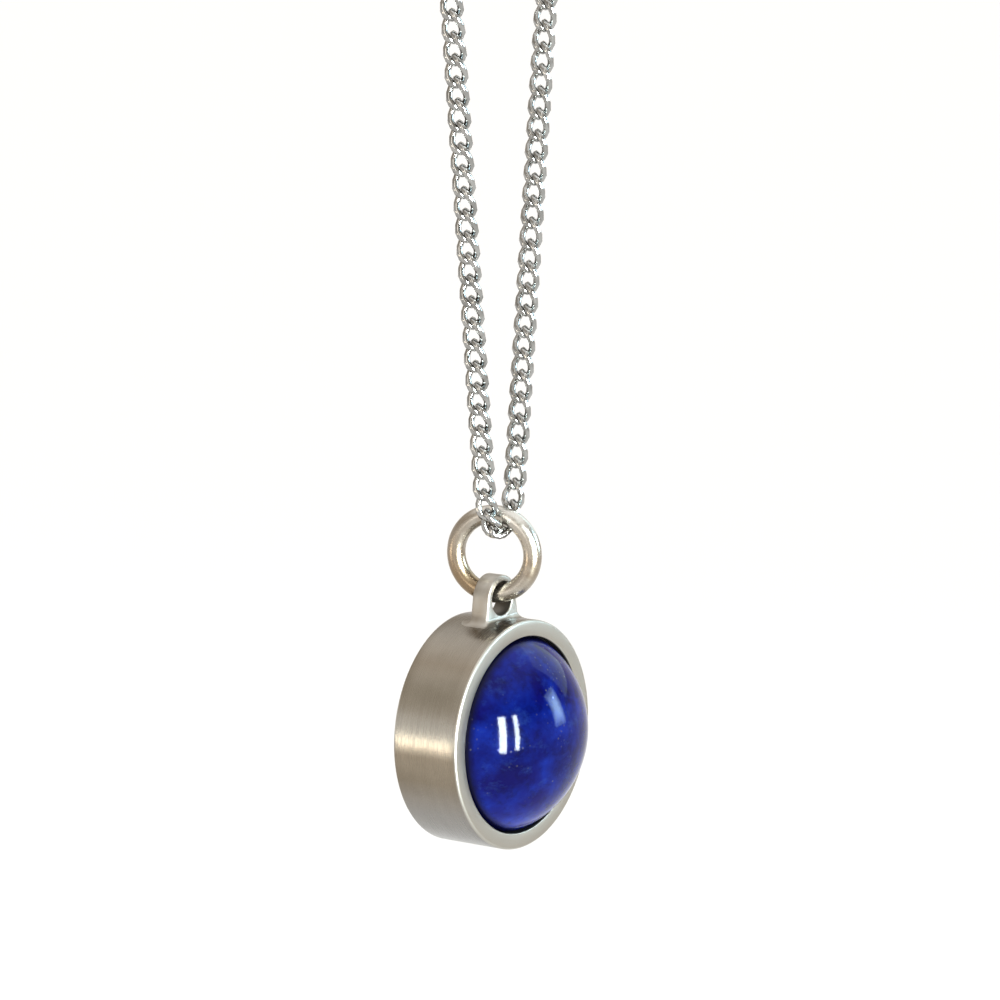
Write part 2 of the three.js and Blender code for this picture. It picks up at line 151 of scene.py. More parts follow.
def centripetal(points, step):
    """A smooth line through the points, with a point about every step along it."""
    ends = [points[0] * 2 - points[1], *points, points[-1] * 2 - points[-2]]
    line = [points[0]]
    for p0, p1, p2, p3 in zip(ends, ends[1:], ends[2:], ends[3:]):
        t1 = math.sqrt((p1 - p0).length)
        t2 = t1 + math.sqrt((p2 - p1).length)
        t3 = t2 + math.sqrt((p3 - p2).length)
        count = max(2, round((p2 - p1).length / step))
        for i in range(1, count + 1):
            t = t1 + (t2 - t1) * i / count
            a1 = p0 * ((t1 - t) / t1) + p1 * (t / t1)
            a2 = p1 * ((t2 - t) / (t2 - t1)) + p2 * ((t - t1) / (t2 - t1))
            a3 = p2 * ((t3 - t) / (t3 - t2)) + p3 * ((t - t2) / (t3 - t2))
            b1 = a1 * ((t2 - t) / t2) + a2 * (t / t2)
            b2 = a2 * ((t3 - t) / (t3 - t1)) + a3 * ((t - t1) / (t3 - t1))
            line.append(b1 * ((t2 - t) / (t2 - t1)) + b2 * ((t - t1) / (t2 - t1)))
    return line


def winding(sign, start_x, end_x, steps_per_turn=48):
    """The loops round the peg, from the strand in front over the top to the tail behind."""
    steps = round(WINDING_TURNS * steps_per_turn)
    line = []
    for i in range(steps + 1):
        angle = 2 * math.pi * WINDING_TURNS * i / steps
        x = start_x + (end_x - start_x) * i / steps
        line.append(Vector((sign * x, -winding_radius * math.cos(angle), winding_radius * math.sin(angle))))
    return line


clasp_way = Vector((tail_top - LOOP_BOTTOM.x, 0, -LOOP_BOTTOM.z)).normalized()


def on_clasp(u):
    return LOOP_BOTTOM + clasp_way * (CLASP_REACH + u)


STEP = 0.25 * MM
front_y = -winding_radius
left_tail = [on_clasp(CLASP_RING_HOLD)]
left_tail += [Vector((x, winding_radius, z)) for x, z in LEFT_TAIL_BEND]
left_tail.append(Vector((-tail_top, winding_radius, 0)))
right_tail = [Vector((tail_top, winding_radius, 0)), on_clasp(END_RING_HOLD)]
under_ring = [Vector((-x, front_y, saddle_low + rise)) for x, rise in reversed(SADDLE_HALF)]
under_ring.append(Vector((0, front_y, saddle_low)))
under_ring += [Vector((x, front_y, saddle_low + rise)) for x, rise in SADDLE_HALF]
top_left = Vector((-strand_top, front_y, 0))
top_right = Vector((strand_top, front_y, 0))

stretches = [
    ("left tail", centripetal(left_tail, STEP)),
    ("left winding", winding(-1, strand_top, tail_top)[::-1]),
    ("left strand", centripetal([top_left, under_ring[0]], STEP)),
    ("saddle", centripetal(under_ring, STEP)),
    ("right strand", centripetal([under_ring[-1], top_right], STEP)),
    ("right winding", winding(1, strand_top, tail_top)),
    ("right tail", centripetal(right_tail, STEP)),
]
line, ends_at, along = [], {}, [0.0]
for name, points in stretches:
    for point in points:
        if line and (point - line[-1]).length < 1e-7:
            continue
        if line:
            along.append(along[-1] + (point - line[-1]).length)
        line.append(point)
    ends_at[name] = along[-1]
print("route", round(along[-1] / MM, 1), "mm; stretches end at",
      {name: round(end / MM) for name, end in ends_at.items()})

# %% [markdown]
# A chain can't bend between two of its joints, so the joints are spaced by the straight distance from one
# to the next, not along the curve. The link's pitch is fitted so that a whole number of links fills the way
# from the clasp ring to the end ring.
# %% Where the links join
LINK_PITCH = 1.32 * MM


def at(distance):
    i = min(max(bisect.bisect_right(along, distance), 1), len(line) - 1)
    share = (distance - along[i - 1]) / (along[i] - along[i - 1])
    return line[i - 1].lerp(line[i], share)


def joints_with(pitch, count):
    places = [0.0]
    for _ in range(count):
        here = at(places[-1])
        ahead = places[-1] + pitch
        for _ in range(4):
            ahead += pitch - (at(ahead) - here).length
        places.append(ahead)
    return places


PITCH_SLACK = 0.03  # the share by which the pitch may be fitted
HALVINGS = 18
link_count = round(along[-1] / LINK_PITCH)
shortest, longest = LINK_PITCH * (1 - PITCH_SLACK), LINK_PITCH * (1 + PITCH_SLACK)
for _ in range(HALVINGS):
    pitch = (shortest + longest) / 2
    if joints_with(pitch, link_count)[-1] > along[-1]:
        longest = pitch
    else:
        shortest = pitch
joint_places = joints_with(pitch, link_count)
joints = [at(place) for place in joint_places]
print(link_count, "links of pitch", round(pitch / MM, 4), "mm; the last joint is",
      round((joints[-1] - line[-1]).length / MM, 3), "mm from the end ring")

# %% [markdown]
# A curb chain lies flat on the peg. Between the peg and the ring it is free to turn, and each strand turns
# once, by about a quarter, so that its broad side lies against the ring's wire where it passes under it.
# Each link gets a facing direction: it starts as a reference that lies square to the route and turns about
# the route by an angle that changes slowly.
# %% Which way each link faces
LEFT_FACING = 83  # degrees from straight ahead
RIGHT_FACING = 97
TURN_SPAN = 26 * MM  # the length over which a free strand turns
SADDLE_ROLL = 9.4  # degrees more, because the ring's wire slopes where the chain crosses it


def eased(value):
    value = min(max(value, 0), 1)
    return value * value * (3 - 2 * value)


def facing_angle(place):
    strand_begin = ends_at["left winding"]
    saddle_begin, saddle_end = ends_at["left strand"], ends_at["saddle"]
    strand_end = ends_at["right strand"]
    if place < saddle_begin:
        return LEFT_FACING * eased((place - strand_begin) / TURN_SPAN)
    if place < saddle_end:
        share = (place - saddle_begin) / (saddle_end - saddle_begin)
        even = LEFT_FACING + (RIGHT_FACING - LEFT_FACING) * share
        return even + SADDLE_ROLL * math.sin(math.pi * share)
    return 180 - (180 - RIGHT_FACING) * eased((strand_end - place) / TURN_SPAN)


def reference(place, point):
    if ends_at["left tail"] < place < ends_at["left winding"] or (
        ends_at["right strand"] < place < ends_at["right winding"]
    ):
        return Vector((0, point.y, point.z)).normalized()
    if place <= ends_at["left tail"] or place >= ends_at["right winding"]:
        return Vector((0, 1, 0))
    return Vector((0, -1, 0))


link_centres, link_turns = [], []
for start, end, place in zip(joints, joints[1:], joint_places):
    way = (end - start).normalized()
    centre = (start + end) / 2
    side = reference(place + pitch / 2, centre)
    flat = (side - way * side.dot(way)).normalized()
    flat = Matrix.Rotation(math.radians(facing_angle(place + pitch / 2)), 3, way) @ flat
    across = flat.cross(way)
    link_centres.append(centre)
    link_turns.append(Matrix((across, flat, way)).transposed().to_euler("XYZ"))
print("facings in degrees along the left strand:",
      [round(facing_angle(ends_at["left winding"] + MM * d)) for d in (0, 10, 20, 30, 60)])

# %% [markdown]
# ## One link, repeated by Geometry Nodes
# A curb link is a ring of round wire that has been twisted by about a quarter turn, so that links that all
# lie the same way pass through each other. The machine then skims both broad sides flat, which gives the
# small bright facets. The tree bends a circle into that shape, gives it thickness, skims it and sets it on
# every point of the route.
# %% The link tree
LINK_WIRE = 0.42 * MM
LINK_TWIST = -58  # degrees at each end
LINK_HALF_THICK = 0.37 * MM
LINK_WIDTH = 1.54 * MM
LINK_POINTS = 16
SQUARENESS = 0.93  # below 1 the link has straighter sides and blunter ends
TWIST_CROWDING = 1.0  # above 1 the twist sits nearer to the ends
WIRE_SIDES = 6

tree = bpy.data.node_groups.new("curb_chain", "GeometryNodeTree")
tree.interface.new_socket(name="Geometry", in_out="INPUT", socket_type="NodeSocketGeometry")
for name in ("Half width", "Half length", "Twist", "Wire", "Half thickness"):
    tree.interface.new_socket(name=name, in_out="INPUT", socket_type="NodeSocketFloat")
tree.interface.new_socket(name="Material", in_out="INPUT", socket_type="NodeSocketMaterial")
tree.interface.new_socket(name="Geometry", in_out="OUTPUT", socket_type="NodeSocketGeometry")


def put(kind, links=None, **settings):
    """A node in the tree being built, with its sockets joined or set."""
    node = tree.nodes.new(kind)
    for key, value in settings.items():
        setattr(node, key, value)
    for key, value in (links or {}).items():
        if isinstance(value, bpy.types.NodeSocket):
            tree.links.new(value, node.inputs[key])
        else:
            node.inputs[key].default_value = value
    return node


def maths(operation, *values):
    return put("ShaderNodeMath", dict(enumerate(values)), operation=operation).outputs[0]


given = put("NodeGroupInput").outputs
circle = put("GeometryNodeCurvePrimitiveCircle", {"Resolution": LINK_POINTS, "Radius": 1.0}).outputs[0]
on_circle = put("ShaderNodeSeparateXYZ", {0: put("GeometryNodeInputPosition").outputs[0]}).outputs


def signed_power(value, power):
    return maths("MULTIPLY", maths("SIGN", value), maths("POWER", maths("ABSOLUTE", value), power))


turn = maths("MULTIPLY", given["Twist"], signed_power(on_circle[1], TWIST_CROWDING))
wide = maths("MULTIPLY", signed_power(on_circle[0], SQUARENESS), given["Half width"])
link_shape = put("ShaderNodeCombineXYZ", {
    0: maths("MULTIPLY", wide, maths("COSINE", turn)),
    1: maths("MULTIPLY", wide, maths("SINE", turn)),
    2: maths("MULTIPLY", signed_power(on_circle[1], SQUARENESS), given["Half length"]),
}).outputs[0]
bent = put("GeometryNodeSetPosition", {"Geometry": circle, "Position": link_shape}).outputs[0]
wire = put("GeometryNodeCurvePrimitiveCircle", {
    "Resolution": WIRE_SIDES, "Radius": maths("MULTIPLY", given["Wire"], 0.5),
}).outputs[0]
round_link = put("GeometryNodeCurveToMesh", {"Curve": bent, "Profile Curve": wire}).outputs[0]
skim = put("ShaderNodeSeparateXYZ", {0: put("GeometryNodeInputPosition").outputs[0]}).outputs
skimmed_y = maths("MAXIMUM", maths("MINIMUM", skim[1], given["Half thickness"]),
                  maths("MULTIPLY", given["Half thickness"], -1.0))
skimmed = put("GeometryNodeSetPosition", {
    "Geometry": round_link,
    "Position": put("ShaderNodeCombineXYZ", {0: skim[0], 1: skimmed_y, 2: skim[2]}).outputs[0],
}).outputs[0]
turns = put("GeometryNodeInputNamedAttribute", {"Name": "turn"},
            data_type="FLOAT_VECTOR").outputs["Attribute"]
placed = put("GeometryNodeInstanceOnPoints", {
    "Points": given["Geometry"], "Instance": skimmed,
    "Rotation": put("FunctionNodeEulerToRotation", {0: turns}).outputs[0],
}).outputs[0]
realized = put("GeometryNodeRealizeInstances", {0: placed}).outputs[0]
smooth_links = put("GeometryNodeSetShadeSmooth", {"Geometry": realized}).outputs[0]
painted = put("GeometryNodeSetMaterial", {
    "Geometry": smooth_links, "Material": given["Material"],
}).outputs[0]
put("NodeGroupOutput", {0: painted})
print("link tree:", len(tree.nodes), "nodes")

# %% [markdown]
# ## Finishes
# Helpers first. Marks from turning and brushing run round the case, so their pattern is read from the
# direction out of its axis and from the depth, and it closes on itself without a seam. Each effect that
# several finishes share is a node group that gives only a value, and each finish keeps its own shader.
# %% Helpers for finishes


def new_group(name, inputs, outputs):
    group = bpy.data.node_groups.new(name, "ShaderNodeTree")
    for socket, kind, value in inputs:
        made = group.interface.new_socket(name=socket, in_out="INPUT", socket_type=kind)
        if value is not None:
            made.default_value = value
    for socket, kind in outputs:
        group.interface.new_socket(name=socket, in_out="OUTPUT", socket_type=kind)
    return group


def noise(position, scale, detail=3.0, roughness=0.55):
    return put("ShaderNodeTexNoise", {
        "Vector": position, "Scale": scale, "Detail": detail, "Roughness": roughness,
    }).outputs["Fac"]


def stretch(position, scale, offset=(0, 0, 0)):
    return put("ShaderNodeMapping", {"Vector": position, "Scale": scale, "Location": offset}).outputs[0]


def remap(value, low, high, to_low=0.0, to_high=1.0):
    return put("ShaderNodeMapRange", {
        "Value": value, "From Min": low, "From Max": high, "To Min": to_low, "To Max": to_high,
    }).outputs[0]


def ramp(value, stops):
    node = put("ShaderNodeValToRGB", {0: value})
    elements = node.color_ramp.elements
    while len(elements) < len(stops):
        elements.new(0.5)
    for element, (place, colour) in zip(elements, stops):
        element.position = place
        element.color = (*colour, 1)
    return node.outputs[0]


def mix(share, a, b):
    node = put("ShaderNodeMix", data_type="RGBA")
    for key, value in (("Factor", share), ("A", a), ("B", b)):
        socket = next(s for s in node.inputs if s.name == key and s.enabled
                      and (key == "Factor") == (s.type == "VALUE"))
        if isinstance(value, bpy.types.NodeSocket):
            tree.links.new(value, socket)
        else:
            socket.default_value = (*value, 1) if isinstance(value, tuple) else value
    return next(s for s in node.outputs if s.enabled)


def object_place():
    return put("ShaderNodeTexCoord").outputs["Object"]


def part_of(vector, index):
    """One of a vector's three parts: 0 for X, 1 for Y, 2 for Z."""
    return put("ShaderNodeSeparateXYZ", {0: vector}).outputs[index]


def from_point(position, point):
    return put("ShaderNodeVectorMath", {0: position, 1: point}, operation="SUBTRACT").outputs[0]


def square_to_y(vector):
    return put("ShaderNodeVectorMath", {0: vector, 1: (1, 0, 1)}, operation="MULTIPLY").outputs[0]


def length_of(vector):
    return put("ShaderNodeVectorMath", {0: vector}, operation="LENGTH").outputs["Value"]


def direction_of(vector):
    return put("ShaderNodeVectorMath", {0: vector}, operation="NORMALIZE").outputs[0]


def group_node(group, links):
    return put("ShaderNodeGroup", links, node_tree=group).outputs


# Fine scratches that run round an axis along Y through the given centre.
turned_marks = new_group(
    "turned_marks",
    [("Place", "NodeSocketVector", None), ("Centre", "NodeSocketVector", None),
     ("Lines", "NodeSocketFloat", 1.0), ("Length", "NodeSocketFloat", 1.0)],
    [("Height", "NodeSocketFloat"), ("Tone", "NodeSocketFloat")],
)
tree = turned_marks
given = put("NodeGroupInput").outputs
local = from_point(given["Place"], given["Centre"])
parts = put("ShaderNodeSeparateXYZ", {0: local}).outputs
radial = put("ShaderNodeCombineXYZ", {0: parts[0], 2: parts[2]}).outputs[0]
spoke = length_of(radial)
direction = direction_of(radial)
around = put("ShaderNodeSeparateXYZ", {0: direction}).outputs
profile_place = maths("MULTIPLY", maths("ADD", parts[1], spoke), given["Lines"])
marks_at = put("ShaderNodeCombineXYZ", {
    0: maths("MULTIPLY", around[0], given["Length"]),
    1: profile_place,
    2: maths("MULTIPLY", around[2], given["Length"]),
}).outputs[0]
fine = noise(marks_at, 1.0, detail=6.0, roughness=0.7)
broad = noise(stretch(marks_at, (0.6, 0.12, 0.6), (3, 1, 7)), 1.0, detail=3.0)
put("NodeGroupOutput", {"Height": fine, "Tone": broad})

# Small dents and handling marks on any polished piece.
handling = new_group(
    "handling_marks",
    [("Place", "NodeSocketVector", None), ("Scale", "NodeSocketFloat", 1.0)],
    [("Height", "NodeSocketFloat"), ("Smudge", "NodeSocketFloat")],
)
tree = handling
given = put("NodeGroupInput").outputs
dents = noise(given["Place"], given["Scale"], detail=5.0, roughness=0.6)
smudge = noise(given["Place"], maths("MULTIPLY", given["Scale"], 0.23), detail=2.0)
put("NodeGroupOutput", {"Height": dents, "Smudge": smudge})


def new_material(name):
    global tree
    material = bpy.data.materials.new(name)
    material.use_nodes = True
    tree = material.node_tree
    tree.nodes.clear()
    return material


def finish_shader(colour, roughness, height=None, strength=0.2, distance=0.02 * MM, **more):
    links = {"Base Color": colour, "Roughness": roughness}
    links.update({key.replace("_", " "): value for key, value in more.items()})
    if height is not None:
        links["Normal"] = put("ShaderNodeBump", {
            "Strength": strength, "Distance": distance, "Height": height,
        }).outputs[0]
    shader = put("ShaderNodeBsdfPrincipled", links).outputs[0]
    put("ShaderNodeOutputMaterial", {0: shader})


print("shared effects:", turned_marks.name, handling.name)

# %% [markdown]
# ## Steel
# The case is turned on a lathe and left with a brushed wall. Its face is rubbed lighter and finer, and the
# edge between them is painted lighter, partly for polish by wear and partly as a painted highlight. The
# wall's warmer tones are painted reflection and shade that change round the case.
# %% Steel finishes
FACE_GREY = (0.29, 0.255, 0.215)
EDGE_BRIGHT = (0.38, 0.355, 0.315)
SATIN_GREY = (0.38, 0.355, 0.32)
SOOT_AND_SHADE = (0.065, 0.056, 0.043)
RING_WARM = (0.235, 0.17, 0.105)
RING_PALE = (0.50, 0.48, 0.44)
CHAIN_GREY = (0.385, 0.38, 0.365)
CHAIN_DARK = (0.25, 0.245, 0.232)
SPRING_DARK = (0.25, 0.25, 0.27)
SPRING_PALE = (0.42, 0.41, 0.40)
GLUE_DARK = (0.012, 0.012, 0.014)
GLUE_PALE = (0.03, 0.03, 0.034)
# The wall's painted light and shade round the case, from its bottom, at 0, up to its top, at 1: a pale band
# of painted reflection a little above the middle, with darker, warmer painted shade above and below it.
WALL_PAINTED_LIGHT = [(0.04, (0.235, 0.23, 0.225)), (0.2, (0.28, 0.265, 0.25)), (0.36, (0.225, 0.185, 0.135)),
              (0.47, (0.24, 0.2, 0.15)), (0.56, (0.50, 0.48, 0.43)), (0.64, (0.49, 0.46, 0.41)),
              (0.74, (0.345, 0.31, 0.255)), (0.85, (0.215, 0.175, 0.13)), (0.98, (0.26, 0.235, 0.2))]
LATHE_LINES = 14000.0
LATHE_LENGTH = 2.2
FACE_DEPTH = 0.12 * MM
EDGE_WIDTH = 0.07 * MM
LUG_SHADE_SIDE = 2.2 * MM  # painted shade and reflection of the lug darken the wall ahead of it, mostly to one side
LUG_SHADE_HALF = 0.95 * MM
LUG_SHADE_FROM = 0.7 * MM  # ahead of the case's middle
LUG_SHADE_FULL = 0.95 * MM
HOLE_RADIUS = 1.03 * MM
HOLE_SHADE_FULL = 0.01 * MM  # how far out of the hole's wall the painted shade is full, and where it ends
HOLE_SHADE_EDGE = 0.06 * MM
BRAZE_SHADE_AHEAD = 0.63 * MM  # painted shade on the braze ahead of the lug, low down and to the left
BRAZE_SHADE_RISE = 0.12 * MM
BRAZE_SHADE_LEFT = 0.8 * MM

case_steel = new_material("case_steel")
place = object_place()
marks = group_node(turned_marks, {
    "Place": place, "Centre": tuple(case_centre), "Lines": LATHE_LINES, "Length": LATHE_LENGTH,
})
depth = part_of(place, 1)
on_face = remap(depth, case_front + FACE_DEPTH * 1.2, case_front + FACE_DEPTH * 0.6)
from_centre = from_point(place, tuple(case_centre))
flat_place = square_to_y(from_centre)
spoke = length_of(flat_place)
outer_edge = remap(spoke, case_radius - EDGE_WIDTH * 2.2, case_radius - EDGE_WIDTH)
front_edge = remap(depth, case_front + EDGE_WIDTH * 2.6, case_front + EDGE_WIDTH * 1.3)
# The front outer edge is painted lighter: partly polish from wear, partly a painted highlight along its
# rounded edge.
worn = maths("MULTIPLY", outer_edge, front_edge)
up_share = remap(part_of(direction_of(flat_place), 2), -1, 1)
# Painted reflection and shade: the wall's colour changes with how high round the case it lies.
wall = ramp(up_share, WALL_PAINTED_LIGHT)
blotches = noise(stretch(place, (1, 0.55, 1)), 420.0, detail=4.0)
uneven = maths("ADD", maths("MULTIPLY", marks["Tone"], 0.4), remap(blotches, 0.3, 0.7, 0.0, 0.6))
wall = mix(uneven, mix(0.26, wall, SOOT_AND_SHADE), mix(0.14, wall, EDGE_BRIGHT))
sideways = part_of(from_centre, 0)
# Painted shade and reflection of the lug: the top of the wall just ahead of the lug, and to its left, is
# darkened.
beside = remap(maths("ABSOLUTE", maths("ADD", sideways, LUG_SHADE_SIDE)), LUG_SHADE_HALF, 0.85 * LUG_SHADE_HALF)
ahead = remap(part_of(from_centre, 1), -LUG_SHADE_FROM, -LUG_SHADE_FULL)
on_top = remap(part_of(from_centre, 2), 0.6 * case_radius, 0.8 * case_radius)
painted_lug_shade_and_reflection = maths("MULTIPLY", maths("MULTIPLY", beside, ahead), on_top)
faded = remap(sideways, -LUG_SHADE_SIDE - LUG_SHADE_HALF, -LUG_SHADE_SIDE + LUG_SHADE_HALF, 0.35, 0.95)
wall = mix(maths("MULTIPLY", painted_lug_shade_and_reflection, faded), wall, SOOT_AND_SHADE)
colour = mix(worn, mix(on_face, wall, FACE_GREY), EDGE_BRIGHT)
brushed = remap(marks["Height"], 0.3, 0.7, 0.20, 0.33)
roughness = maths("ADD", brushed, maths("MULTIPLY", on_face, 0.13))
finish_shader(colour, roughness, marks["Height"], 0.35, 0.006 * MM, Metallic=1.0)

satin_steel = new_material("satin_steel")
place = object_place()
rub = group_node(handling, {"Place": stretch(place, (1, 1, 0.35)), "Scale": 4200.0})
from_hole = from_point(place, tuple(lug_hole))
# Painted shade inside the lug's hole, and on the braze low down ahead of the lug and to its left.
painted_hole_shade = remap(length_of(square_to_y(from_hole)), HOLE_RADIUS + HOLE_SHADE_EDGE, HOLE_RADIUS + HOLE_SHADE_FULL)
colour = mix(remap(rub["Smudge"], 0.35, 0.65), SATIN_GREY, FACE_GREY)
above_case = length_of(square_to_y(from_point(place, tuple(case_centre))))
low_down = remap(above_case, case_radius + 2 * BRAZE_SHADE_RISE, case_radius + BRAZE_SHADE_RISE)
in_front = remap(part_of(from_hole, 1), -BRAZE_SHADE_AHEAD, -1.3 * BRAZE_SHADE_AHEAD)
to_left = remap(part_of(from_hole, 0), 0.0, -BRAZE_SHADE_LEFT)
painted_braze_and_hole_shade = maths("MAXIMUM", painted_hole_shade, maths("MULTIPLY", maths("MULTIPLY", low_down, in_front), to_left))
finish_shader(mix(maths("MULTIPLY", painted_braze_and_hole_shade, 0.8), colour, SOOT_AND_SHADE),
              remap(rub["Height"], 0.3, 0.7, 0.36, 0.48), rub["Height"], 0.3, 0.01 * MM, Metallic=1.0)

ring_steel = new_material("ring_steel")
place = object_place()
rub = group_node(handling, {"Place": place, "Scale": 3000.0})
tarnish = noise(place, 260.0, detail=3.0)
ring_low, ring_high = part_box("jump_ring")
# Painted light: the ring is painted paler towards its top and warmer and darker below; the tarnish noise is
# its own colour.
painted_light_from_above = remap(part_of(place, 2), ring_low.z, ring_high.z, -0.25, 0.65)
tarnish_and_painted_light = maths("ADD", maths("MULTIPLY", remap(tarnish, 0.38, 0.62), 0.7), painted_light_from_above)
finish_shader(mix(tarnish_and_painted_light, RING_WARM, RING_PALE),
              remap(rub["Height"], 0.3, 0.7, 0.22, 0.32), rub["Height"], 0.07, 0.01 * MM, Metallic=1.0)

chain_steel = new_material("chain_steel")
place = object_place()
rub = group_node(handling, {"Place": place, "Scale": 6000.0})
finish_shader(mix(remap(rub["Smudge"], 0.3, 0.62), CHAIN_DARK, CHAIN_GREY),
              remap(rub["Height"], 0.3, 0.7, 0.06, 0.15), rub["Height"], 0.1, 0.01 * MM, Metallic=1.0)

spring_steel = new_material("spring_steel")
place = object_place()
rub = group_node(handling, {"Place": place, "Scale": 6000.0})
finish_shader(mix(rub["Smudge"], SPRING_DARK, SPRING_PALE),
              remap(rub["Height"], 0.3, 0.7, 0.25, 0.45), rub["Height"], 0.2, 0.01 * MM, Metallic=1.0)

glue = new_material("adhesive")
place = object_place()
rub = group_node(handling, {"Place": place, "Scale": 1500.0})
finish_shader(mix(rub["Smudge"], GLUE_DARK, GLUE_PALE),
              remap(rub["Height"], 0.3, 0.7, 0.45, 0.7), rub["Height"], 0.4, 0.02 * MM, Metallic=0.0)
print("finishes:", [m.name for m in (case_steel, satin_steel, ring_steel, chain_steel, spring_steel, glue)])

# %% [markdown]
# ## Lapis lazuli
# The stone is a rock, not a crystal: deep blue lazurite in patches, with paler grey-blue calcite clouds and a
# few grains of golden pyrite. Each is its own pattern in the stone's solid, as if the dome were cut from it.
# %% Stone finish
DEEP = (0.001, 0.0015, 0.13)
BLUE = (0.005, 0.030, 0.43)
VIOLET = (0.004, 0.003, 0.17)
CLOUD = (0.03, 0.088, 0.40)
INK = (0.001, 0.001, 0.035)
GOLD = (0.30, 0.31, 0.22)
POLISH = 0.07
GIRDLE_SHADE_FROM = 0.44 * MM  # in from the stone's widest line, where the painted shade and the duller polish begin
GIRDLE_SHADE_FULL = 0.2 * MM
stone_radius = size("cabochon").x / 2

lapis = new_material("lapis")
place = object_place()
swirl = put("ShaderNodeTexNoise", {"Vector": place, "Scale": 190.0, "Detail": 3.0}).outputs["Color"]
warped = put("ShaderNodeVectorMath", {
    0: place,
    1: put("ShaderNodeVectorMath", {0: swirl, "Scale": 1.6 * MM}, operation="SCALE").outputs[0],
}, operation="ADD").outputs[0]
patches = noise(warped, 330.0, detail=4.0, roughness=0.6)
body = mix(remap(patches, 0.38, 0.62), DEEP, BLUE)
hue = noise(stretch(warped, (1, 1, 1), (0.013, 0.02, 0.005)), 240.0, detail=3.0)
body = mix(remap(hue, 0.5, 0.66), body, VIOLET)
cloudy = noise(stretch(warped, (1, 1, 1.3), (0.031, 0.004, 0.017)), 640.0, detail=6.0, roughness=0.7)
body = mix(maths("MULTIPLY", remap(cloudy, 0.54, 0.76), 0.6), body, CLOUD)
inky = noise(stretch(warped, (1, 1, 1), (0.002, 0.041, 0.029)), 500.0, detail=4.0)
body = mix(maths("MULTIPLY", remap(inky, 0.6, 0.72), 0.8), body, INK)
grains = put("ShaderNodeTexVoronoi", {"Vector": place, "Scale": 3000.0, "Randomness": 1.0})
grain = remap(grains.outputs["Distance"], 0.26, 0.08)
chosen = remap(put("ShaderNodeSeparateColor", {0: grains.outputs["Color"]}).outputs[0], 0.45, 0.95)
seamed = remap(noise(place, 300.0, detail=3.0), 0.50, 0.60)
pyrite = maths("MULTIPLY", maths("MULTIPLY", grain, chosen), seamed)
mottle = noise(place, 1700.0, detail=4.0, roughness=0.7)
body = mix(maths("MULTIPLY", remap(mottle, 0.5, 0.75), 0.55), body, INK)
body = mix(maths("MULTIPLY", pyrite, 0.6), body, GOLD)
# Painted shade: the stone is darkened towards its girdle, next to the rim.
painted_girdle_shade = remap(length_of(square_to_y(from_point(place, tuple(case_centre)))),
                    stone_radius - GIRDLE_SHADE_FROM, stone_radius - GIRDLE_SHADE_FULL)
colour = mix(painted_girdle_shade, body, INK)
dulled = maths("MULTIPLY", maths("ADD", pyrite, painted_girdle_shade), 0.2)
finish_shader(colour, maths("ADD", POLISH, dulled), cloudy, 0.03, 0.01 * MM,
              Metallic=maths("MULTIPLY", pyrite, 0.6), IOR=1.5, Specular_IOR_Level=0.11)
print("stone finish:", len(tree.nodes), "nodes")

# %% [markdown]
# ## The chain
# The route's points carry the turn of each link. The tree sets the link on them, and the result is kept as
# one plain mesh, because the chain is one body of the frame. It stands for the frame's tubes and coils.
# %% Chain
points_mesh = bpy.data.meshes.new("chain_points")
points_mesh.from_pydata([tuple(c) for c in link_centres], [], [])
turn_data = points_mesh.attributes.new("turn", "FLOAT_VECTOR", "POINT")
turn_data.data.foreach_set("vector", [angle for turn_euler in link_turns for angle in turn_euler])
points_object = bpy.data.objects.new("chain_points", points_mesh)
bpy.context.scene.collection.objects.link(points_object)
modifier = points_object.modifiers.new("links", "NODES")
modifier.node_group = bpy.data.node_groups["curb_chain"]
values = {
    "Half width": (LINK_WIDTH - LINK_WIRE) / 2,
    "Half length": (pitch + LINK_WIRE) / 2,
    "Twist": math.radians(LINK_TWIST),
    "Wire": LINK_WIRE,
    "Half thickness": LINK_HALF_THICK,
    "Material": chain_steel,
}
for item in modifier.node_group.interface.items_tree:
    if item.in_out == "INPUT" and item.name in values:
        modifier[item.identifier] = values[item.name]
points_object.update_tag()


def plain(source, name):
    """The evaluated mesh of an object as a new object without modifiers."""
    bpy.context.view_layer.update()
    mesh = bpy.data.meshes.new_from_object(source.evaluated_get(bpy.context.evaluated_depsgraph_get()))
    mesh.name = name
    made = bpy.data.objects.new(name, mesh)
    bpy.context.scene.collection.objects.link(made)
    bpy.data.objects.remove(source)
    return made


def triangles(thing):
    return sum(len(p.vertices) - 2 for p in thing.data.polygons)


chain = plain(points_object, "chain_links")
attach(chain, "chain")
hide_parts("chain_saddle", "left_strand", "right_strand", "left_coil", "right_coil", "left_tail",
            "right_tail")

# %% [markdown]
# ## Smooth metal
# Each piece is a closed skin made of rings of points: a section that is carried round. The function joins the
# rings into faces, and the last ring joins the first.
# %% Helpers for skins
SHARP_FROM = math.radians(38)


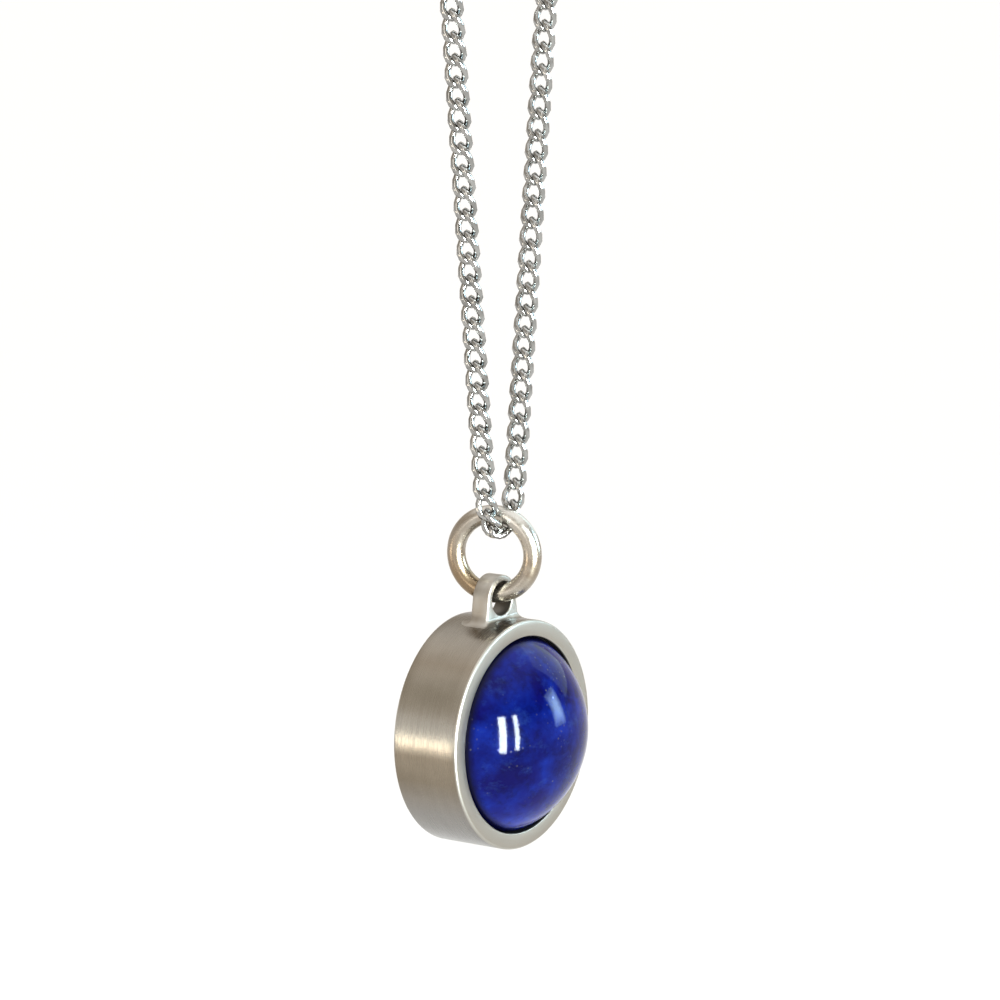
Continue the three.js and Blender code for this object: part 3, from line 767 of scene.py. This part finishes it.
def skin(name, rings, material, body, nodes=(), close_rings=True, poles=()):
    """Joins rings of equal length. poles are points that close the first and the last ring."""
    mesh = bmesh.new()
    rows = [[mesh.verts.new(p) for p in ring] for ring in rings]
    pairs = list(zip(rows, rows[1:]))
    if close_rings:
        pairs.append((rows[-1], rows[0]))
    for one, two in pairs:
        for i in range(len(one)):
            j = (i + 1) % len(one)
            mesh.faces.new((one[i], one[j], two[j], two[i]))
    for row, pole in zip((rows[0], rows[-1]), poles):
        tip = mesh.verts.new(pole)
        for i in range(len(row)):
            mesh.faces.new((row[i], row[(i + 1) % len(row)], tip))
    bmesh.ops.recalc_face_normals(mesh, faces=mesh.faces)
    data = bpy.data.meshes.new(name)
    mesh.to_mesh(data)
    mesh.free()
    data.polygons.foreach_set("use_smooth", [True] * len(data.polygons))
    data.set_sharp_from_angle(angle=SHARP_FROM)
    data.materials.append(material)
    made = bpy.data.objects.new(name, data)
    bpy.context.scene.collection.objects.link(made)
    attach(made, body)
    if nodes:
        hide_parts(*nodes)
    return made


def corner(r, y, radius, start, sweep, steps=4):
    """Points of a rounded corner in a turned section, centred on (r, y), angles in degrees."""
    return [(r + radius * math.cos(math.radians(start + sweep * i / steps)),
             y + radius * math.sin(math.radians(start + sweep * i / steps))) for i in range(steps + 1)]


def lathe(section, count, centre):
    """The section's points, as distance from the axis and Y, carried round an axis along Y."""
    return [[Vector((centre.x + r * math.sin(2 * math.pi * i / count), y,
                     centre.z + r * math.cos(2 * math.pi * i / count))) for r, y in section]
            for i in range(count)]


def spread(start, end, count):
    """Points between two section points, without either."""
    shares = [i / (count + 1) for i in range(1, count + 1)]
    return [(start[0] + (end[0] - start[0]) * share, start[1] + (end[1] - start[1]) * share)
            for share in shares]


# %% [markdown]
# The case is a short tube with rounded edges, and a recess in its back that takes the back plate. Small flats
# beside each rounded edge keep the light even on the wall.
# %% Case and back plate
EDGE_ROUND = 0.17 * MM
BORE_ROUND = 0.06 * MM
BORE_GAP = 0.05 * MM
PLATE_GAP = 0.02 * MM
CASE_STEPS = 192
PLATE_STEPS = 96
bore = stone_radius + BORE_GAP
plate_radius = size("back_plate").x / 2
plate_front, plate_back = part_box("back_plate")[0].y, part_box("back_plate")[1].y
recess = plate_radius + PLATE_GAP
front_out = corner(case_radius - EDGE_ROUND, case_front + EDGE_ROUND, EDGE_ROUND, 270, 90)
back_out = corner(case_radius - EDGE_ROUND, case_back - EDGE_ROUND, EDGE_ROUND, 0, 90)
front_in = corner(bore + BORE_ROUND, case_front + BORE_ROUND, BORE_ROUND, 180, 90)
section = front_in + front_out + spread(front_out[-1], back_out[0], 6) + back_out
section += [(recess + BORE_ROUND, case_back), (recess, case_back - BORE_ROUND),
            (recess, plate_front - PLATE_GAP), (bore, plate_front - PLATE_GAP)]
rings = lathe(section, CASE_STEPS, case_centre)
case = skin("case", rings, case_steel, "pendant", ["case_ring"])

PLATE_ROUND = 0.1 * MM
plate_edge = corner(plate_radius - PLATE_ROUND, plate_back - PLATE_ROUND, PLATE_ROUND, 0, 90)
section = [(plate_radius * 0.5, plate_front), (plate_radius, plate_front), *plate_edge]
section += [(plate_radius * share, plate_back) for share in (0.97, 0.6, 0.2)]
rings = [list(ring) for ring in zip(*lathe(section, PLATE_STEPS, case_centre))]
plate_poles = [(case_centre.x, plate_front, case_centre.z), (case_centre.x, plate_back, case_centre.z)]
plate = skin("back_plate_disc", rings, case_steel, "pendant", ["back_plate"], False,
             plate_poles)
print("case", triangles(case), "and back plate", triangles(plate), "triangles")

# %% [markdown]
# A cabochon is ground on a wheel to a smooth dome with a narrow upright girdle below it. It is set from the
# front, with its widest line a little inside the rim, so a thin dark line shows round it.
# %% Stone
GIRDLE_SINK = 0.42 * MM
GIRDLE_HEIGHT = 0.75 * MM
STONE_BEVEL = 0.3 * MM
STONE_BEVEL_ROUND = 0.06 * MM
DOME_RINGS = 36
STONE_STEPS = 128
stone_low, stone_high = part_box("cabochon")
girdle = case_front + GIRDLE_SINK
dome_height = girdle - stone_low.y
dome_radius = (stone_radius ** 2 + dome_height ** 2) / (2 * dome_height)
dome_centre = stone_low.y + dome_radius
dome_edge = math.asin(stone_radius / dome_radius)
dome_angles = [dome_edge * i / DOME_RINGS for i in range(1, DOME_RINGS + 1)]
section = [(dome_radius * math.sin(angle), dome_centre - dome_radius * math.cos(angle))
           for angle in dome_angles]
section += [(stone_radius, girdle + GIRDLE_HEIGHT),
            (stone_radius - STONE_BEVEL, stone_high.y - STONE_BEVEL_ROUND / 3),
            (stone_radius - STONE_BEVEL - STONE_BEVEL_ROUND, stone_high.y),
            (stone_radius * 0.5, stone_high.y)]
rings = [list(ring) for ring in zip(*lathe(section, STONE_STEPS, case_centre))]
stone_poles = [(case_centre.x, stone_low.y, case_centre.z), (case_centre.x, stone_high.y, case_centre.z)]
skin("stone", rings, lapis, "pendant", ["cabochon"], False, stone_poles)
print("stone", round(stone_radius * 2 / MM, 2), "mm wide, dome", round(dome_height / MM, 2), "mm high")

# %% [markdown]
# The lug is a small plate with a round top and a drilled hole, its edges rounded by filing. Its outline and
# its hole are matched point for point, and a section is carried round between them. The foot follows the
# case's round wall.
# %% Lug
LUG_ROUND = 0.13 * MM
LUG_ROUND_STEPS = 4
LUG_ARC_STEPS = 26
LUG_SIDE_STEPS = 7
LUG_FOOT_STEPS = 10
FLARE = math.radians(8)  # the sides widen by this much towards the foot
FOOT_SINK = 0.1 * MM


def case_top(x, depth_in=0.0):
    return case_centre.z + math.sqrt((case_radius - depth_in) ** 2 - x * x)


arc_angles = [FLARE + (math.pi - 2 * FLARE) * i / LUG_ARC_STEPS for i in range(LUG_ARC_STEPS + 1)]
outline = [(lug_half * math.cos(angle), lug_hole.z + lug_half * math.sin(angle)) for angle in arc_angles]
side_x, side_z = outline[0]
foot_x = side_x + (side_z - case_top(lug_half, FOOT_SINK)) * math.tan(FLARE)
foot_z = case_top(foot_x, FOOT_SINK)
side = spread((side_x, side_z), (foot_x, foot_z), LUG_SIDE_STEPS - 1) + [(foot_x, foot_z)]
outline += [(-x, z) for x, z in side]
foot_places = [foot_x * (2 * i / LUG_FOOT_STEPS - 1) for i in range(1, LUG_FOOT_STEPS)]
outline += [(x, case_top(x, FOOT_SINK)) for x in foot_places]
outline += side[::-1]
# The filed edge, as how far it lies inside the lug's outline and behind its front.
quarter = [math.radians(90 * i / LUG_ROUND_STEPS) for i in range(LUG_ROUND_STEPS + 1)]
filed = [(LUG_ROUND * (1 - math.sin(angle)), LUG_ROUND * (1 - math.cos(angle))) for angle in quarter]
rings = []
for x, z in outline:
    out = Vector((x, 0, z - lug_hole.z))
    away = out.normalized()
    outer = [(out.length - inside, -lug_half_depth + behind) for inside, behind in filed]
    inner = [(HOLE_RADIUS + inside, -lug_half_depth + behind) for inside, behind in filed]
    ring = outer + [(r, -y) for r, y in reversed(outer)] + [(r, -y) for r, y in inner] + inner[::-1]
    rings.append([Vector((away.x * r, lug_hole.y + y, lug_hole.z + away.z * r)) for r, y in ring])
lug = skin("lug", rings, satin_steel, "pendant", ["hanging_lug"])

# %% [markdown]
# The braze is the silver that ran into the corner between the lug and the case. Surface tension leaves it
# hollow, wider at the sides of the lug than at its front.
# %% Braze
BRAZE_SPREAD = 0.5 * MM
BRAZE_RISE = 0.7 * MM
BRAZE_FRONT_SPREAD = 0.7 * MM
BRAZE_FRONT_RISE = 0.25 * MM
BRAZE_CORNER = 0.15 * MM
BRAZE_SINK = 0.1 * MM
BRAZE_INSET = 0.06 * MM  # how far it reaches into the lug
BRAZE_DEPTH = 0.12 * MM  # and into the case
quarter = [math.radians(15 * i) for i in range(7)]
loop = []
for corner_number, (cx, cy) in enumerate([(1, 1), (-1, 1), (-1, -1), (1, -1)]):
    for step in quarter:
        angle = corner_number * math.pi / 2 + step
        loop.append((cx * (foot_x - BRAZE_SINK - BRAZE_CORNER) + BRAZE_CORNER * math.cos(angle),
                     cy * (lug_half_depth - BRAZE_CORNER) + BRAZE_CORNER * math.sin(angle),
                     math.cos(angle), math.sin(angle)))
rings = []
for x, y, nx, ny in loop:
    out_by = BRAZE_SPREAD * nx * nx + BRAZE_FRONT_SPREAD * ny * ny
    up_by = BRAZE_RISE * nx * nx + BRAZE_FRONT_RISE * ny * ny
    hollow = [(out_by * (1 - math.sin(angle)), up_by * (1 - math.cos(angle))) for angle in quarter]
    hollow += [(-BRAZE_INSET, up_by), (-BRAZE_INSET, -BRAZE_DEPTH), (out_by, -BRAZE_DEPTH)]
    ring = [(x + nx * out, y + ny * out, up) for out, up in hollow]
    rings.append([Vector((px, lug_hole.y + py, case_top(px) + pz)) for px, py, pz in ring])
braze = skin("lug_fillet", rings, satin_steel, "pendant", ["lug_braze"])
print("lug", triangles(lug), "and braze", triangles(braze), "triangles")

# %% [markdown]
# ## Rings
# Rings of round wire: the jump ring, and the two small rings at the chain's ends. Each lies in a plane given
# by two directions.
# %% Rings


def wire_ring(name, node, centre, first, second, radius, wire, count, sides, material, body):
    """A ring of count sections, each with the given number of sides."""
    normal = first.cross(second).normalized()
    rings = []
    for i in range(count):
        angle = 2 * math.pi * i / count
        out = first * math.cos(angle) + second * math.sin(angle)
        middle_point = centre + out * radius
        rings.append([middle_point + (out * math.cos(2 * math.pi * j / sides)
                                      + normal * math.sin(2 * math.pi * j / sides)) * wire / 2
                      for j in range(sides)])
    return skin(name, rings, material, body, [node])


RING_WIRE = 1.13 * MM
RING_YAW = math.radians(17)
END_RING_RADIUS = 2.2 * MM
END_RING_WIRE = 0.56 * MM
CLASP_RING_RADIUS = 1.3 * MM
CLASP_RING_WIRE = 0.5 * MM
ring_centre = middle("jump_ring")
ring_radius = (size("jump_ring").z - RING_WIRE) / 2
ring_way = Vector((-math.sin(RING_YAW), math.cos(RING_YAW), 0))
wire_ring("jump_ring_wire", "jump_ring", ring_centre, ring_way, Vector((0, 0, 1)), ring_radius,
          RING_WIRE, 128, 32, ring_steel, "jump_ring")
depthwise = Vector((0, 1, 0))
wire_ring("end_ring_wire", "end_ring", middle("end_ring"), clasp_way, depthwise, END_RING_RADIUS,
          END_RING_WIRE, 72, 20, chain_steel, "end_ring")
wire_ring("clasp_ring_wire", "clasp_ring", middle("clasp_ring"), clasp_way, depthwise, CLASP_RING_RADIUS,
          CLASP_RING_WIRE, 56, 20, chain_steel, "clasp_ring")
print("jump ring", round(ring_radius * 2 / MM, 2), "mm to the wire's middle")

# %% [markdown]
# ## Clasp
# The clasp is cast and tumbled, so every edge is soft. Its body and its lever start as the frame's shapes,
# remeshed finely and smoothed.
# %% Clasp


CLASP_GRAIN = 0.07 * MM
LEVER_GRAIN = 0.06 * MM
SOFTENING_ROUNDS = 4


def tumbled(node, name, grain, body):
    """The frame's shape in small faces of the given size, with its edges worn round."""
    copy = bpy.data.objects.new(name + "_raw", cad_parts[node].data.copy())
    bpy.context.scene.collection.objects.link(copy)
    remesh = copy.modifiers.new("remesh", "REMESH")
    remesh.mode = "VOXEL"
    remesh.voxel_size = grain
    soften = copy.modifiers.new("soften", "SMOOTH")
    soften.factor = 0.5
    soften.iterations = SOFTENING_ROUNDS
    made = plain(copy, name)
    made.data.materials.clear()
    made.data.materials.append(chain_steel)
    made.data.polygons.foreach_set("use_smooth", [True] * len(made.data.polygons))
    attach(made, body)
    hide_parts(node)
    return made


clasp = tumbled("clasp_body", "clasp_casting", CLASP_GRAIN, "clasp")
lever = tumbled("clasp_lever", "lever_casting", LEVER_GRAIN, "lever")
print("clasp", triangles(clasp), "and lever", triangles(lever), "triangles")

# %% [markdown]
# The pieces that stay as the frame has them get their finishes: the seat ring and the glue inside the case,
# and the clasp's spring and rivet.
# %% Kept nodes
for node, material in [("seat_ring", satin_steel), ("adhesive_bed", glue), ("clasp_spring", spring_steel),
                       ("clasp_rivet", chain_steel)]:
    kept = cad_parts[node].data
    kept.materials.clear()
    kept.materials.append(material)

# %% [markdown]
# ## Floor and light
# The studio has a white floor below, so that the necklace hangs in front of plain white. The room above is
# a soft gradient: white overhead and warm lower down, which gives steel part of its tones; the rest is
# painted reflection and shade in the case's wall. Two tall windows beside the camera make the pair of
# highlights on the stone.
# %% Studio
FLOOR_DROP = 0.5
FLOOR_HALF = 60.0
FLOOR_WHITE = (0.93, 0.93, 0.93, 1)
floor_mesh = bpy.data.meshes.new("floor")
floor_z = cad_box[0].z - FLOOR_DROP
corners = [(sx * FLOOR_HALF, sy * FLOOR_HALF, floor_z) for sx, sy in ((-1, -1), (1, -1), (1, 1), (-1, 1))]
floor_mesh.from_pydata(corners, [], [(0, 1, 2, 3)])
floor = bpy.data.objects.new("floor", floor_mesh)
bpy.context.scene.collection.objects.link(floor)
paint = new_material("floor_paint")
finish_shader(FLOOR_WHITE, 0.9, Metallic=0.0)
floor_mesh.materials.append(paint)

world = bpy.data.worlds.new("studio")
bpy.context.scene.world = world
world.use_nodes = True
tree = world.node_tree
tree.nodes.clear()
direction = put("ShaderNodeTexCoord").outputs["Generated"]
parts = put("ShaderNodeSeparateXYZ", {0: direction}).outputs
height = remap(parts[2], -1, 1)
# The room's tones from straight down, at 0, to straight up, at 1.
ROOM_TONES = [(0.0, (0.9, 0.9, 0.9)), (0.49, (0.90, 0.88, 0.85)), (0.58, (0.86, 0.83, 0.79)),
              (0.66, (0.62, 0.55, 0.46)), (0.78, (0.72, 0.66, 0.58)), (0.92, (1.65, 1.65, 1.65))]
ROOM_FRONT = (0.32, -0.95, 0.0)  # the dark side of the room, which the stone faces
ROOM_DIM = (0.16, 0.15, 0.14)
ahead = put("ShaderNodeVectorMath", {0: direction, 1: ROOM_FRONT}, operation="DOT_PRODUCT").outputs["Value"]
between = maths("MULTIPLY", remap(parts[2], 0.75, 0.45), remap(parts[2], 0.05, 0.32))
dim = maths("MULTIPLY", remap(ahead, 0.35, 0.8), between)
room = mix(dim, ramp(height, ROOM_TONES), ROOM_DIM)
sky = put("ShaderNodeBackground", {"Color": room, "Strength": 1.0}).outputs[0]
put("ShaderNodeOutputWorld", {0: sky})


def card(name, azimuth, elevation, distance, width, tall, brightness, colour, only_seen=False):
    """A soft rectangular light that faces the stone. With only_seen it shows in polished surfaces alone."""
    a, e = math.radians(azimuth), math.radians(elevation)
    toward = Vector((math.sin(a) * math.cos(e), -math.cos(a) * math.cos(e), math.sin(e)))
    data = bpy.data.lights.new(name, "AREA")
    data.shape = "RECTANGLE"
    data.size, data.size_y = width, tall
    data.energy = brightness * math.pi * width * tall
    data.color = colour
    light = bpy.data.objects.new(name, data)
    light.rotation_mode = "QUATERNION"
    light.rotation_quaternion = toward.to_track_quat("Z", "Y")
    light.location = case_centre + toward * distance
    light.visible_diffuse = not only_seen
    bpy.context.scene.collection.objects.link(light)


DAYLIGHT = (0.84, 0.97, 1)
card("window_left", -29.5, 4, 1.2, 0.165, 0.80, 130, DAYLIGHT, only_seen=True)
card("window_right", -14, 5, 1.2, 0.10, 0.74, 120, DAYLIGHT, only_seen=True)
for share in (0.4, 0.6, 0.8, 1.0):  # cards inside each other, so that the light fades outward
    width, tall = 0.46 * share, 0.72 * share
    card("pale_wall", 42, 14, 1.5 + 0.01 * share, width, tall, 8, (0.55, 0.82, 1), only_seen=True)
card("soft_right", 80, 30, 1.6, 1.0, 1.0, 1.6, (0.7, 0.92, 1))
card("side_strip", -87, 15, 1.4, 0.32, 1.0, 3.5, (1, 0.98, 0.94), only_seen=True)
card("warm_lamp", -127, -8.2, 1.4, 0.5, 0.075, 11, (1, 0.88, 0.70))
bpy.context.scene.view_settings.view_transform = "Standard"
